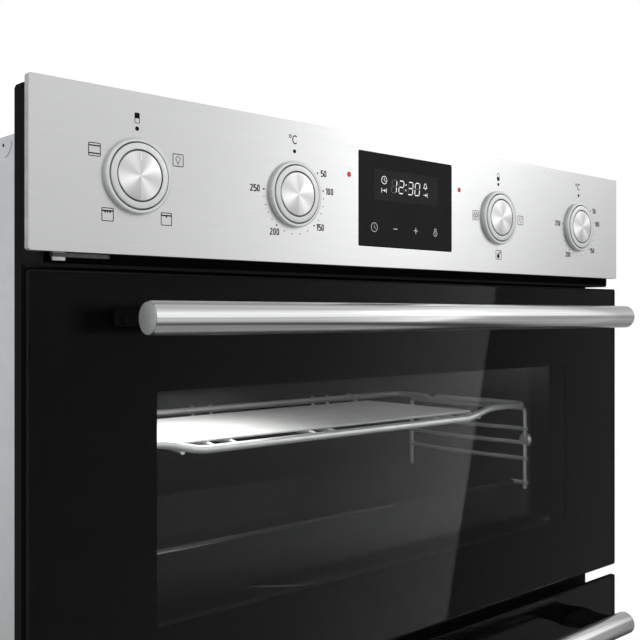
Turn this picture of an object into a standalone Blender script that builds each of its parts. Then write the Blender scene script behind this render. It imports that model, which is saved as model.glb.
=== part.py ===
"""Built-in double wall oven: a control panel, a small upper oven with a grill, a main fan oven below it.

Metres, +Z up, the front faces -Y. The origin is the middle of the base plate's underside. Every piece hangs
on one empty in the control panel's front plane, so a local Y is a depth behind that plane.
"""

import math
from collections import namedtuple

import bmesh
import bpy
from mathutils import Matrix, Vector

# Overall sizes
FRONT_Y = -0.257  # world Y of the control panel's front plane
HALF_WIDTH = 0.297
REVEAL = 0.010  # open gap under the control panel, between the doors and under them
GAP = 0.0003  # clearance between pieces that rest on each other
SHEET = 0.0012

# Control panel
PANEL_LOW, PANEL_HIGH = 0.792, 0.886
PANEL_DEPTH = 0.0048
DISPLAY_HALF, DISPLAY_LOW, DISPLAY_HIGH = 0.051, 0.8067, 0.8738
LAMP_X, LAMP_Z, LAMP_RADIUS = 0.0605, 0.8557, 0.0016
KNOB_X = (-0.231, -0.111, 0.111, 0.231)
KNOB_Z = 0.8373
KNOB_RADIUS = 0.019
KNOB_PROUD = 0.0038
BEZEL_RADIUS = 0.023
SPINDLE_RADIUS = 0.003

# Carrier behind the panel, front frame behind the doors, casing behind the frame
CARRIER_LOW, CARRIER_HIGH = 0.784, 0.885
CARRIER_FRONT, CARRIER_BACK = 0.0053, 0.0277
FRAME_HALF, FRAME_LOW, FRAME_HIGH = 0.288, 0.003, 0.888
FRAME_FRONT, FRAME_BACK = 0.028, 0.036
FLANGE_BACK, FLANGE_INNER = 0.0365, 0.2785
CASING_HALF, CASING_TOP, CASING_BACK = 0.278, 0.864, 0.560
BASE_THICK = 0.0015
TERMINAL_BACK = 0.568

# Doors
GLASS_FRONT, GLASS_BACK = 0.0015, 0.0055
DOOR_FRAME_FRONT, DOOR_FRAME_BACK = 0.0058, 0.022
DOOR_FRAME_HALF = 0.262
INNER_GLASS_FRONT, INNER_GLASS_BACK = 0.0223, 0.025
SEAL_FRONT, SEAL_BACK = 0.0253, 0.0277
WINDOW_HALF, WINDOW_ABOVE_BOTTOM, WINDOW_BELOW_TOP = 0.2155, 0.0535, 0.0694
HANDLE_HALF, HANDLE_RADIUS, HANDLE_Y, HANDLE_BELOW_TOP = 0.2480, 0.0096, -0.0370, 0.026
POST_X, POST_HALF_LENGTH, POST_HALF_HEIGHT = 0.2280, 0.0175, 0.005
HINGE_Y, HINGE_ABOVE_BOTTOM, HINGE_X = 0.015, 0.007, 0.250
PIN_RADIUS, EYE_BORE, EYE_RADIUS = 0.0025, 0.0029, 0.0055

# Cavities and what stands in them
CAVITY_HALF, CAVITY_CORNER = 0.238, 0.018
CAVITY_FRONT = FRAME_BACK + GAP
CAVITY_SHEET = 0.0015
UPRIGHT_X, RUNNER_X, WIRE_RADIUS = 0.2352, 0.2318, 0.002
RACK_FRONT = 0.062
SHELF_HALF, SHELF_RADIUS, SHELF_FRONT = 0.2295, 0.003, 0.058
SHELF_LIFT = 0.0049  # height of a shelf's wire above the runner that it lies on
TRAY_HALF, TRAY_FRONT, TRAY_DEPTH = 0.231, 0.059, 0.032
FAN_Z = 0.255
BLADES = 8
FAN_SLOTS = 10
COOLING_Y, COOLING_LOW, COOLING_HIGH = 0.300, 0.790, 0.845
COOLING_RADIUS, DUCT_HALF, DUCT_FRONT = 0.080, 0.055, 0.065

Oven = namedtuple(
    "Oven", "name door_low door_high floor ceiling back rack_back shelf_back runners shelf_runner"
)
UPPER = Oven(
    "upper", 0.520, 0.782, 0.554, 0.736, 0.275, 0.206, 0.2235, (0.597, 0.620, 0.635, 0.6485, 0.668), 0.668
)
LOWER = Oven(
    "lower", 0.028, 0.510, 0.073, 0.438, 0.447, 0.417, 0.402, (0.130, 0.190, 0.250, 0.310, 0.370), 0.250
)
OVENS = (UPPER, LOWER)


def clear_scene():
    for obj in list(bpy.data.objects):
        bpy.data.objects.remove(obj)


def material(name, colour, metallic, roughness):
    made = bpy.data.materials.new(name)
    made.use_nodes = True
    shader = made.node_tree.nodes["Principled BSDF"]
    shader.inputs["Base Color"].default_value = (*colour, 1)
    shader.inputs["Metallic"].default_value = metallic
    shader.inputs["Roughness"].default_value = roughness
    return made


# Outlines: lists of two coordinates, counter-clockwise


def rectangle(half_width, low, high):
    return [(-half_width, low), (half_width, low), (half_width, high), (-half_width, high)]


def rounded(left, right, low, high, radius, steps=3):
    """A rectangle with round corners, from its lower right corner."""
    centres = (
        (right - radius, low + radius, -90),
        (right - radius, high - radius, 0),
        (left + radius, high - radius, 90),
        (left + radius, low + radius, 180),
    )
    points = []
    for x, y, start in centres:
        for step in range(steps + 1):
            angle = math.radians(start + 90 * step / steps)
            points.append((x + radius * math.cos(angle), y + radius * math.sin(angle)))
    return points


def circle(x, y, radius, steps=16):
    angles = [math.tau * step / steps for step in range(steps)]
    return [(x + radius * math.cos(angle), y + radius * math.sin(angle)) for angle in angles]


# Solids, each a bmesh


PLACES = {
    "X": lambda a, b, t: (t, a, b),
    "Y": lambda a, b, t: (a, t, b),
    "Z": lambda a, b, t: (a, b, t),
}


def prism(axis, low, high, outline, *holes):
    """The outline less the holes, from low to high along the axis."""
    place = PLACES[axis]
    bm = bmesh.new()
    edges = []
    for points in (outline, *holes):
        verts = [bm.verts.new(place(a, b, low)) for a, b in points]
        edges += [bm.edges.new((verts[i - 1], verts[i])) for i in range(len(verts))]
    bmesh.ops.triangle_fill(bm, use_beauty=True, edges=edges)
    grown = bmesh.ops.extrude_face_region(bm, geom=bm.faces[:])["geom"]
    moved = [item for item in grown if isinstance(item, bmesh.types.BMVert)]
    bmesh.ops.translate(bm, vec=place(0, 0, high - low), verts=moved)
    bmesh.ops.recalc_face_normals(bm, faces=bm.faces)
    return bm


def block(left, right, front, back, low, high):
    return prism("Y", front, back, [(left, low), (right, low), (right, high), (left, high)])


def loft(loops, closed=False):
    """Skin over loops of equal length, capped at both ends unless the last joins the first."""
    bm = bmesh.new()
    rings = [[bm.verts.new(point) for point in loop] for loop in loops]
    size = len(rings[0])
    for i in range(0 if closed else 1, len(rings)):
        for j in range(size):
            bm.faces.new((rings[i - 1][j - 1], rings[i - 1][j], rings[i][j], rings[i][j - 1]))
    if not closed:
        bm.faces.new(rings[0])
        bm.faces.new(rings[-1])
    bmesh.ops.recalc_face_normals(bm, faces=bm.faces)
    return bm


def layered(axis, *layers):
    """A loft through outlines, each given with its place along the axis."""
    place = PLACES[axis]
    return loft([[place(a, b, t) for a, b in outline] for t, outline in layers])


def turned(axis, centre, profile, steps=24, ring=False):
    """A solid of revolution: the profile's points are a radius and a place along the axis."""
    place = PLACES[axis]
    return loft([[place(a, b, t) for a, b in circle(*centre, r, steps)] for r, t in profile], ring)


def sweep(points, radius, sides=4, closed=False):
    """A tube along the points, mitred at its corners."""
    points = [Vector(point) for point in points]
    loops = []
    side = None
    for i, point in enumerate(points):
        after = points[(i + 1) % len(points)] - point
        before = point - points[i - 1]
        if not closed and i == 0:
            before = after
        if not closed and i == len(points) - 1:
            after = before
        before, after = before.normalized(), after.normalized()
        mitre = (before + after).normalized()
        side = side or before.orthogonal()
        side = (side - before * side.dot(before)).normalized()
        loop = []
        for step in range(sides):
            angle = math.tau * step / sides
            out = radius * (math.cos(angle) * side + math.sin(angle) * before.cross(side))
            loop.append(point + out - before * (out.dot(mitre) / before.dot(mitre)))
        loops.append(loop)
    return loft(loops, closed)


# Objects


def add(name, bm, finish, pivot=(0, 0, 0)):
    """The named piece, with its origin at the pivot."""
    mesh = bpy.data.meshes.new(name)
    bm.to_mesh(mesh)
    bm.free()
    mesh.transform(Matrix.Translation(-Vector(pivot)))
    mesh.shade_smooth()
    mesh.set_sharp_from_angle(angle=math.radians(35))
    mesh.materials.append(finish)
    obj = bpy.data.objects.new(name, mesh)
    obj.location = pivot
    obj.parent = OVEN
    bpy.context.scene.collection.objects.link(obj)
    return obj


def combine(obj, operation, solids):
    """Unites the solids with the object, or cuts them from it, with one Boolean modifier."""
    group = bpy.data.collections.new(f"{obj.name}_{operation.lower()}")
    bpy.context.scene.collection.children.link(group)
    for bm in solids:
        tool = add(f"{obj.name}_tool", bm, obj.data.materials[0])
        tool.hide_render = True
        tool.display_type = "WIRE"
        bpy.context.scene.collection.objects.unlink(tool)
        group.objects.link(tool)
    modifier = obj.modifiers.new(operation.title(), "BOOLEAN")
    modifier.operation = operation
    modifier.operand_type = "COLLECTION"
    modifier.collection = group


def unite(obj, *solids):
    combine(obj, "UNION", solids)


def cut(obj, *solids):
    combine(obj, "DIFFERENCE", solids)


# Casing


def make_casing():
    add("base_plate", block(-0.276, 0.276, 0.040, 0.559, 0, BASE_THICK), GALVANISED)
    low = BASE_THICK + GAP
    inner = CASING_HALF - SHEET
    top = CASING_TOP - SHEET
    walls = [(-CASING_HALF, low), (-inner, low), (-inner, top), (inner, top), (inner, low)]
    walls += [(CASING_HALF, low), (CASING_HALF, CASING_TOP), (-CASING_HALF, CASING_TOP)]
    add("outer_wrap", prism("Y", FRAME_BACK + GAP, CASING_BACK, walls), GALVANISED)

    terminal = (-0.200, -0.140, 0.780, 0.815)
    left, right, bottom, top = terminal
    around = 0.001
    hatch = rounded(left - around, right + around, bottom - around, top + around, 0.002, 1)
    vents = [rounded(x - 0.004, x + 0.004, 0.620, 0.700, 0.003, 1) for x in spread(0.180, 6)]
    vents += [rounded(x - 0.004, x + 0.004, 0.200, 0.320, 0.003, 1) for x in spread(0.180, 6)]
    outline = rectangle(CASING_HALF, low, CASING_TOP)
    back = CASING_BACK + GAP
    add("back_panel", prism("Y", back, back + SHEET, outline, hatch, *vents), GALVANISED)
    add("terminal_block", block(left, right, 0.540, TERMINAL_BACK, bottom, top), BLACK_PLASTIC)


def spread(half, count):
    """Evenly spaced places from -half to half."""
    return [half * (2 * i / (count - 1) - 1) for i in range(count)]


def cavity_outline(oven, out=0.0):
    low, high = oven.floor - out, oven.ceiling + out
    half = CAVITY_HALF + out
    return rounded(-half, half, low, high, CAVITY_CORNER + max(out, 0), 3)


def make_front_frame():
    holes = [cavity_outline(oven) for oven in OVENS]
    holes += [circle(x, KNOB_Z, 0.005, 12) for x in KNOB_X]
    for side in (-1, 1):
        for oven in OVENS:
            left, right = side * HINGE_X - 0.003, side * HINGE_X + 0.003
            low, high = oven.door_low + HINGE_ABOVE_BOTTOM - 0.012, oven.door_low + HINGE_ABOVE_BOTTOM + 0.006
            holes.append([(left, low), (right, low), (right, high), (left, high)])
        holes += [circle(side * 0.283, z, 0.0026, 10) for z in (0.250, 0.650)]
    outline = rounded(-FRAME_HALF, FRAME_HALF, FRAME_LOW, FRAME_HIGH, 0.003, 2)
    frame = add("front_frame", prism("Y", FRAME_FRONT, FLANGE_BACK, outline, *holes), BLACK_PAINT)
    # Only the flanges beside the casing reach back to the plane that seats on the cabinet's sides.
    top = FRAME_HIGH + 0.001
    cut(frame, block(-FLANGE_INNER, FLANGE_INNER, FRAME_BACK, FLANGE_BACK + 0.002, -0.001, top))

    slots = [rounded(x - 0.034, x + 0.034, 0.007, 0.014, 0.003, 1) for x in spread(0.240, 6)]
    outline = rounded(-FRAME_HALF, FRAME_HALF, FRAME_LOW, 0.018, 0.002, 1)
    trim = add("bottom_trim", prism("Y", 0.006, 0.008, outline, *slots), BLACK_PAINT)
    unite(trim, block(-0.286, 0.286, 0.007, FRAME_FRONT - GAP, 0.0035, 0.0055))


# Control panel


def make_control_panel():
    corner = 0.0025
    outline = rounded(-HALF_WIDTH, HALF_WIDTH, PANEL_LOW, PANEL_HIGH, corner, 3)
    window = rounded(-DISPLAY_HALF, DISPLAY_HALF, DISPLAY_LOW, DISPLAY_HIGH, 0.001, 1)
    holes = [window]
    holes += [circle(x, KNOB_Z, 0.021, 24) for x in KNOB_X]
    holes += [circle(side * LAMP_X, LAMP_Z, LAMP_RADIUS + GAP, 8) for side in (-1, 1)]
    panel = add("control_panel", prism("Y", 0, PANEL_DEPTH, outline, *holes), BRUSHED_STEEL)
    half = HALF_WIDTH - SHEET
    cut(panel, block(-half, half, SHEET, 0.010, PANEL_LOW + SHEET, PANEL_HIGH - SHEET))

    wall = 0.002
    outline = rounded(-FRAME_HALF, FRAME_HALF, CARRIER_LOW, CARRIER_HIGH, 0.002, 1)
    holes = [circle(x, KNOB_Z, 0.008, 12) for x in KNOB_X]
    carrier = add("panel_carrier", prism("Y", CARRIER_FRONT, CARRIER_BACK, outline, *holes), BLACK_PAINT)
    half = FRAME_HALF - wall
    pocket = block(-half, half, 0, CARRIER_BACK - wall, CARRIER_LOW + wall, CARRIER_HIGH - wall)
    louvres = [
        block(x - 0.016, x + 0.016, 0.010, 0.020, CARRIER_LOW - wall, CARRIER_LOW + 2 * wall)
        for x in spread(0.245, 8)
    ]
    cut(carrier, pocket, *louvres)

    half, low, high = DISPLAY_HALF - GAP, DISPLAY_LOW + GAP, DISPLAY_HIGH - GAP
    window = rounded(-half, half, low, high, 0.001, 1)
    body = rounded(-half - 0.005, half + 0.005, low - 0.005, high + 0.005, 0.001, 1)
    shoulder = SHEET + GAP
    module = layered("Y", (0.0003, window), (shoulder, window), (shoulder, body), (0.024, body))
    add("display_module", module, BLACK_GLASS)

    for side, name in ((-1, "left"), (1, "right")):
        stem, flange = LAMP_RADIUS, 0.0026
        profile = [(stem * 0.7, -0.0006), (stem, -0.0002), (stem, shoulder)]
        profile += [(flange, shoulder), (flange, 0.012)]
        lamp = turned("Y", (side * LAMP_X, LAMP_Z), profile, 8)
        add(f"indicator_lamp_{name}", lamp, RED_LENS)


def make_knob(number, x, switch_name):
    """A pop-out knob in its bezel, the spindle that it slides along, and the switch behind it."""
    centre = (x, KNOB_Z)
    pivot = (x, 0, KNOB_Z)
    inner, sleeve = KNOB_RADIUS + 0.0006, 0.0206
    profile = [(inner, -0.0016), (BEZEL_RADIUS - 0.0014, -0.002), (BEZEL_RADIUS, -GAP)]
    profile += [(sleeve, -GAP), (sleeve, 0.008), (inner, 0.008)]
    add(f"knob_bezel_{number}", turned("Y", centre, profile, 24, ring=True), POLISHED_STEEL)

    front, skirt_end, hub_end = -KNOB_PROUD, 0.020, 0.024
    hub, bore, wall = 0.006, SPINDLE_RADIUS + GAP, 0.002
    profile = [(KNOB_RADIUS - 0.001, front), (KNOB_RADIUS, front + 0.001), (KNOB_RADIUS, skirt_end)]
    profile += [(KNOB_RADIUS - wall, skirt_end), (KNOB_RADIUS - wall, front + 0.004), (hub, front + 0.004)]
    profile += [(hub, hub_end), (bore, hub_end), (bore, front + 0.004)]
    add(f"knob_{number}", turned("Y", centre, profile, 20), SATIN_METAL, pivot)

    tail = 0.046
    profile = [(SPINDLE_RADIUS, 0.0012), (SPINDLE_RADIUS, tail)]
    add(f"spindle_{number}", turned("Y", centre, profile, 12), STEEL, pivot)

    front, back, half = FRAME_BACK + GAP, 0.062, 0.018
    body = block(x - half, x + half, front, back, KNOB_Z - 0.014, KNOB_Z + 0.014)
    switch = add(switch_name, body, PALE_PLASTIC)
    cut(switch, turned("Y", centre, [(bore, front - 0.001), (bore, tail + 0.001)], 12))


# Doors


def make_door(oven):
    low, high = oven.door_low, oven.door_high
    hinge_z = low + HINGE_ABOVE_BOTTOM
    pivot = (0, HINGE_Y, hinge_z)
    outline = rounded(-HALF_WIDTH, HALF_WIDTH, low, high, 0.002, 2)
    add(f"{oven.name}_door_glass", prism("Y", GLASS_FRONT, GLASS_BACK, outline), BLACK_GLASS, pivot)

    half, bottom, top = DOOR_FRAME_HALF, low + 0.0145, high - 0.006
    margin = 0.0045
    opening = rounded(
        -WINDOW_HALF - margin, WINDOW_HALF + margin,
        low + WINDOW_ABOVE_BOTTOM - margin, high - WINDOW_BELOW_TOP + margin, 0.004, 2,
    )
    outline = rounded(-half, half, bottom, top, 0.004, 2)
    frame = add(
        f"{oven.name}_door_frame",
        prism("Y", DOOR_FRAME_FRONT, DOOR_FRAME_BACK, outline, opening), BLACK_PAINT, pivot,
    )
    wall = 0.002
    channel = prism(
        "Y", DOOR_FRAME_FRONT + wall, DOOR_FRAME_BACK + wall,
        rounded(-half + wall, half - wall, bottom + wall, top - wall, 0.003, 2),
        rounded(
            -WINDOW_HALF - margin - wall, WINDOW_HALF + margin + wall,
            low + WINDOW_ABOVE_BOTTOM - margin - wall, high - WINDOW_BELOW_TOP + margin + wall, 0.005, 2,
        ),
    )
    cut(frame, channel)
    lugs = []
    for side in (-1, 1):
        for offset in (-0.0055, 0.0055):
            x = side * HINGE_X + offset
            lugs.append(block(x - 0.0015, x + 0.0015, 0.011, 0.019, hinge_z - 0.0042, bottom + 0.001))
        x = side * HINGE_X
        lugs.append(
            prism("X", x - 0.0065, x + 0.0065, circle(HINGE_Y, hinge_z, PIN_RADIUS, 12))
        )
    unite(frame, *lugs)

    outline = rounded(-half + 0.002, half - 0.002, bottom + 0.002, top - 0.003, 0.004, 2)
    add(
        f"{oven.name}_door_inner_glass",
        prism("Y", INNER_GLASS_FRONT, INNER_GLASS_BACK, outline), CLEAR_GLASS, pivot,
    )

    handle_z = high - HANDLE_BELOW_TOP
    handle = add(
        f"{oven.name}_door_handle",
        prism("X", -HANDLE_HALF, HANDLE_HALF, circle(HANDLE_Y, handle_z, HANDLE_RADIUS, 20)),
        HANDLE_METAL, pivot,
    )
    posts = []
    for side in (-1, 1):
        x = side * POST_X
        outline = rounded(
            x - POST_HALF_LENGTH, x + POST_HALF_LENGTH,
            handle_z - POST_HALF_HEIGHT, handle_z + POST_HALF_HEIGHT, 0.002, 1,
        )
        posts.append(prism("Y", HANDLE_Y, GLASS_FRONT - GAP, outline))
    unite(handle, *posts)


def make_hinge_arm(oven, side, side_name):
    """A flat arm with an eye round the door's pin and a hook behind the front frame."""
    z = oven.door_low + HINGE_ABOVE_BOTTOM
    half_height = 0.003
    opening = math.asin(half_height / EYE_RADIUS)
    steps = 12
    outline = []
    for step in range(steps + 1):
        angle = opening + (math.tau - 2 * opening) * step / steps
        outline.append((HINGE_Y + EYE_RADIUS * math.cos(angle), z + EYE_RADIUS * math.sin(angle)))
    hook_front, hook_back, hook_drop = FRAME_BACK + GAP, 0.0395, 0.011
    outline += [(hook_front, z - half_height), (hook_front, z - hook_drop), (hook_back, z - hook_drop)]
    outline.append((hook_back, z + half_height))
    x = side * HINGE_X
    arm = prism("X", x - 0.002, x + 0.002, outline, circle(HINGE_Y, z, EYE_BORE, 16))
    add(f"{oven.name}_hinge_arm_{side_name}", arm, STEEL)


def make_seal(oven):
    ring = prism("Y", SEAL_FRONT, SEAL_BACK, cavity_outline(oven, 0.012), cavity_outline(oven, 0.005))
    add(f"{oven.name}_door_seal", ring, RUBBER)


# Cavities


def make_cavity(oven):
    """An enamelled tub, open to the front, with a flange behind the front frame."""
    flange = CAVITY_FRONT + CAVITY_SHEET
    tub = layered(
        "Y",
        (oven.back - CAVITY_SHEET, cavity_outline(oven)),
        (CAVITY_FRONT, cavity_outline(oven)),
        (CAVITY_FRONT, cavity_outline(oven, 0.009)),
        (flange, cavity_outline(oven, 0.009)),
        (flange, cavity_outline(oven, CAVITY_SHEET)),
        (oven.back, cavity_outline(oven, CAVITY_SHEET)),
    )
    return add(f"{oven.name}_cavity", tub, ENAMEL)


def make_insulation():
    """One blanket round both cavities."""
    outline = rounded(-0.270, 0.270, 0.045, 0.775, 0.010, 2)
    holes = [cavity_outline(oven, 0.004) for oven in OVENS]
    air_gap = rectangle(0.200, 0.470, 0.522)
    add("insulation", prism("Y", 0.044, 0.440, outline, air_gap, *holes), WOOL)


def make_rack(oven, side, side_name):
    """Two uprights by the wall, and runners that step inboard between them."""
    front, back = RACK_FRONT, oven.rack_back
    low, high = oven.runners[0] - 0.006, oven.runners[-1] + 0.006
    x = side * UPRIGHT_X
    wires = [sweep([(x, y, low), (x, y, high)], WIRE_RADIUS) for y in (front, back)]
    for z in oven.runners:
        route = [
            (x, front - 0.003, z), (side * RUNNER_X, front + 0.012, z),
            (side * RUNNER_X, back - 0.012, z), (x, back + 0.003, z),
        ]
        wires.append(sweep(route, WIRE_RADIUS))
    rack = add(f"{oven.name}_rack_{side_name}", wires[0], CHROME)
    unite(rack, *wires[1:])


def make_shelf(oven):
    """A frame wire, low along its front, with cross wires lying at that lower level on two long wires."""
    z = oven.shelf_runner + SHELF_LIFT
    front, back, corner, drop = SHELF_FRONT, oven.shelf_back, 0.012, 0.007
    route = [(x, y, z) for x, y in rounded(-SHELF_HALF, SHELF_HALF, front, back, corner, 3)]
    low = z - drop
    route += [(-0.180, front, z), (-0.165, front, low), (0.165, front, low), (0.180, front, z)]
    long_x, thin = 0.160, 0.0015
    wires = [
        sweep([(x, front, low), (x, back - 0.012, low), (x, back, z)], 0.002)
        for x in (-long_x, long_x)
    ]
    count = round((back - front) / 0.036)
    for i in range(1, count):
        y = front + 0.004 + (back - front - 0.012) * i / count
        wires.append(sweep([(-long_x - 0.005, y, low + 0.001), (long_x + 0.005, y, low + 0.001)], thin))
    shelf = add(f"{oven.name}_shelf", sweep(route, SHELF_RADIUS, 6, closed=True), CHROME)
    unite(shelf, *wires)


def make_tray():
    """An enamelled tray with sloping sides, whose rim hangs on the upper oven's lowest runners."""
    rim_low = UPPER.runners[0] + WIRE_RADIUS + GAP
    rim_high = rim_low + CAVITY_SHEET
    floor = rim_high - TRAY_DEPTH
    front, back = TRAY_FRONT, UPPER.shelf_back + 0.004

    def outline(inset, radius):
        return rounded(-TRAY_HALF + inset, TRAY_HALF - inset, front + inset, back - inset, radius, 3)

    tray = layered(
        "Z",
        (floor + CAVITY_SHEET, outline(0.024, 0.014)), (rim_high, outline(0.010, 0.022)),
        (rim_high, outline(0, 0.026)), (rim_low, outline(0, 0.026)),
        (rim_low, outline(0.0085, 0.022)), (floor, outline(0.0225, 0.014)),
    )
    add("upper_tray", tray, ENAMEL)


def make_grill_element():
    """A heating rod in eight legs under the upper oven's ceiling, with both ends in the rear wall."""
    z, near, far, wall = 0.718, 0.085, 0.250, UPPER.back - CAVITY_SHEET - GAP
    legs = (-0.160, -0.115, -0.070, -0.025)
    corner = 0.010
    route = [(legs[0], wall, z)]
    for i, x in enumerate(legs):
        end, towards = (near, 1) if i % 2 == 0 else (far, -1)
        next_x = legs[i + 1] if i + 1 < len(legs) else -x
        route += [(x, end + towards * corner, z), (x + corner, end, z), (next_x - corner, end, z)]
        route.append((next_x, end + towards * corner, z))
    mirrored = [(-x, y, z) for x, y, z in reversed(route[:-4])]
    add("grill_element", sweep(route + mirrored, 0.0032, 6), ELEMENT)


def make_lamp_lens(oven):
    """A glass cap on the cavity's rear wall."""
    wall = oven.back - CAVITY_SHEET - GAP
    centre = (-0.190, oven.ceiling - 0.042)
    profile = [(0.012, wall - 0.012), (0.019, wall - 0.008), (0.021, wall - 0.003), (0.021, wall)]
    add(f"{oven.name}_lamp_lens", turned("Y", centre, profile, 14), CLEAR_GLASS)


# Fans


def make_convection_fan():
    """The lower oven's fan with its motor behind the wall, a ring heater round it and a cover in front."""
    centre = (0, FAN_Z)
    wall = LOWER.back - CAVITY_SHEET
    cut(
        bpy.data.objects["lower_cavity"],
        turned("Y", centre, [(0.007, wall - 0.010), (0.007, LOWER.back + 0.010)], 16),
    )
    shaft, disc_front, disc_back, tail = 0.003, wall - 0.012, wall - 0.0105, LOWER.back + 0.020
    profile = [(shaft, disc_front - 0.014), (0.008, disc_front - 0.012), (0.008, disc_front)]
    profile += [(0.068, disc_front), (0.068, disc_back), (shaft, disc_back), (shaft, tail)]
    fan = add("convection_fan", turned("Y", centre, profile, 20), STEEL, (0, 0, FAN_Z))
    blades = []
    for i in range(BLADES):
        blade = block(-0.0008, 0.0008, disc_front - 0.012, disc_front + 0.0006, 0.028, 0.066)
        turn = Matrix.Translation((0, 0, FAN_Z)) @ Matrix.Rotation(math.tau * (i + 0.5) / BLADES, 4, "Y")
        bmesh.ops.transform(blade, matrix=turn, verts=blade.verts)
        blades.append(blade)
    unite(fan, *blades)

    front, back, bore = LOWER.back + 0.003, 0.505, shaft + GAP
    profile = [(bore, front + 0.024), (bore, front), (0.034, front), (0.034, back - 0.012), (0.020, back)]
    add("fan_motor", turned("Y", centre, profile, 20), STEEL)

    y, radius, steps = wall - 0.016, 0.085, 18
    start, end = math.radians(-75), math.radians(255)
    route = [(radius * math.cos(start), wall - GAP, FAN_Z + radius * math.sin(start))]
    for i in range(steps + 1):
        angle = start + (end - start) * i / steps
        route.append((radius * math.cos(angle), y, FAN_Z + radius * math.sin(angle)))
    route.append((route[-1][0], wall - GAP, route[-1][2]))
    add("ring_element", sweep(route, 0.0032, 6), ELEMENT)

    front = wall - 0.032
    outer = rounded(-0.140, 0.140, FAN_Z - 0.125, FAN_Z + 0.125, 0.020, 3)
    inner = rounded(-0.1385, 0.1385, FAN_Z - 0.1235, FAN_Z + 0.1235, 0.0185, 3)
    cover = layered(
        "Y", (front, outer), (wall - GAP, outer), (wall - GAP, inner), (front + 0.0015, inner)
    )
    cover = add("fan_cover", cover, ENAMEL)
    slots = []
    for i in range(FAN_SLOTS):
        slot = block(-0.0045, 0.0045, front - 0.002, front + 0.004, 0.018, 0.052)
        turn = Matrix.Translation((0, 0, FAN_Z)) @ Matrix.Rotation(math.tau * i / FAN_SLOTS, 4, "Y")
        bmesh.ops.transform(slot, matrix=turn, verts=slot.verts)
        slots.append(slot)
    for side in (-1, 1):
        edge = side * 0.139
        for offset in spread(0.070, 3):
            z = FAN_Z + offset
            slots.append(block(edge - 0.004, edge + 0.004, front + 0.008, wall - 0.006, z - 0.022, z + 0.022))
    cut(cover, *slots)


def keyhole(inset):
    """A drum with a duct towards the front, seen from above."""
    radius, half, front = COOLING_RADIUS - inset, DUCT_HALF - inset, DUCT_FRONT
    start = math.asin(half / radius)
    steps = 16
    points = [(-half, front), (half, front)]
    for step in range(steps + 1):
        angle = start - math.pi / 2 + (math.tau - 2 * start) * step / steps
        points.append((radius * math.cos(angle), COOLING_Y + radius * math.sin(angle)))
    return points


def make_cooling_fan():
    wall = 0.002
    housing = add("cooling_fan_housing", prism("Z", COOLING_LOW, COOLING_HIGH, keyhole(0)), GALVANISED)
    pocket = [(x, y - 0.010 if y == DUCT_FRONT else y) for x, y in keyhole(wall)]
    cut(housing, prism("Z", COOLING_LOW + wall, COOLING_HIGH + wall, pocket))
    centre = (0, COOLING_Y)
    post, top = 0.004, COOLING_HIGH - 0.012
    unite(housing, turned("Z", centre, [(post, COOLING_LOW + 0.001), (post, top)], 16))

    low, high, hub, bore, rim = COOLING_LOW + 0.008, COOLING_HIGH - 0.005, 0.009, post + GAP, 0.058
    plate = 0.0015
    profile = [(bore, low), (rim, low), (rim, low + plate), (hub, low + plate), (hub, high), (bore, high)]
    wheel = turned("Z", centre, profile, 20, ring=True)
    impeller = add("cooling_impeller", wheel, BLACK_PLASTIC, (0, COOLING_Y, 0))
    blades = []
    for i in range(BLADES):
        blade = block(0.030, 0.056, -0.0008, 0.0008, low + 0.0005, high - 0.004)
        turn = Matrix.Translation((0, COOLING_Y, 0)) @ Matrix.Rotation(math.tau * (i + 0.5) / BLADES, 4, "Z")
        bmesh.ops.transform(blade, matrix=turn, verts=blade.verts)
        blades.append(blade)
    unite(impeller, *blades)


clear_scene()
OVEN = bpy.data.objects.new("oven", None)
OVEN.location = (0, FRONT_Y, 0)
bpy.context.scene.collection.objects.link(OVEN)

BRUSHED_STEEL = material("brushed_steel", (0.62, 0.63, 0.64), 1, 0.32)
POLISHED_STEEL = material("polished_steel", (0.70, 0.71, 0.72), 1, 0.18)
SATIN_METAL = material("satin_metal", (0.66, 0.67, 0.69), 1, 0.30)
HANDLE_METAL = material("handle_metal", (0.55, 0.56, 0.57), 1, 0.28)
STEEL = material("steel", (0.48, 0.49, 0.50), 1, 0.40)
CHROME = material("chromed_wire", (0.60, 0.60, 0.60), 1, 0.20)
GALVANISED = material("galvanised_sheet", (0.58, 0.60, 0.61), 0.9, 0.45)
BLACK_PAINT = material("black_paint", (0.020, 0.020, 0.021), 0, 0.45)
BLACK_GLASS = material("black_glass", (0.008, 0.008, 0.009), 0, 0.05)
CLEAR_GLASS = material("clear_glass", (0.80, 0.84, 0.84), 0, 0.03)
BLACK_PLASTIC = material("black_plastic", (0.025, 0.025, 0.025), 0, 0.50)
PALE_PLASTIC = material("pale_plastic", (0.60, 0.58, 0.52), 0, 0.55)
RED_LENS = material("red_lens", (0.35, 0.02, 0.015), 0, 0.20)
RUBBER = material("rubber", (0.020, 0.020, 0.020), 0, 0.70)
ENAMEL = material("enamel", (0.035, 0.035, 0.038), 0, 0.22)
WOOL = material("mineral_wool", (0.55, 0.50, 0.38), 0, 0.95)
ELEMENT = material("heating_rod", (0.18, 0.17, 0.16), 0.8, 0.50)

make_casing()
make_front_frame()
make_control_panel()
SWITCHES = ("upper_selector_switch", "upper_thermostat", "lower_selector_switch", "lower_thermostat")
for knob_number, (knob_x, switch) in enumerate(zip(KNOB_X, SWITCHES), 1):
    make_knob(knob_number, knob_x, switch)
for made_oven in OVENS:
    make_door(made_oven)
    make_seal(made_oven)
    make_cavity(made_oven)
    make_lamp_lens(made_oven)
    make_shelf(made_oven)
    for hand, hand_name in ((-1, "left"), (1, "right")):
        make_rack(made_oven, hand, hand_name)
        make_hinge_arm(made_oven, hand, hand_name)
make_insulation()
make_tray()
make_grill_element()
make_convection_fan()
make_cooling_fan()
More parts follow.
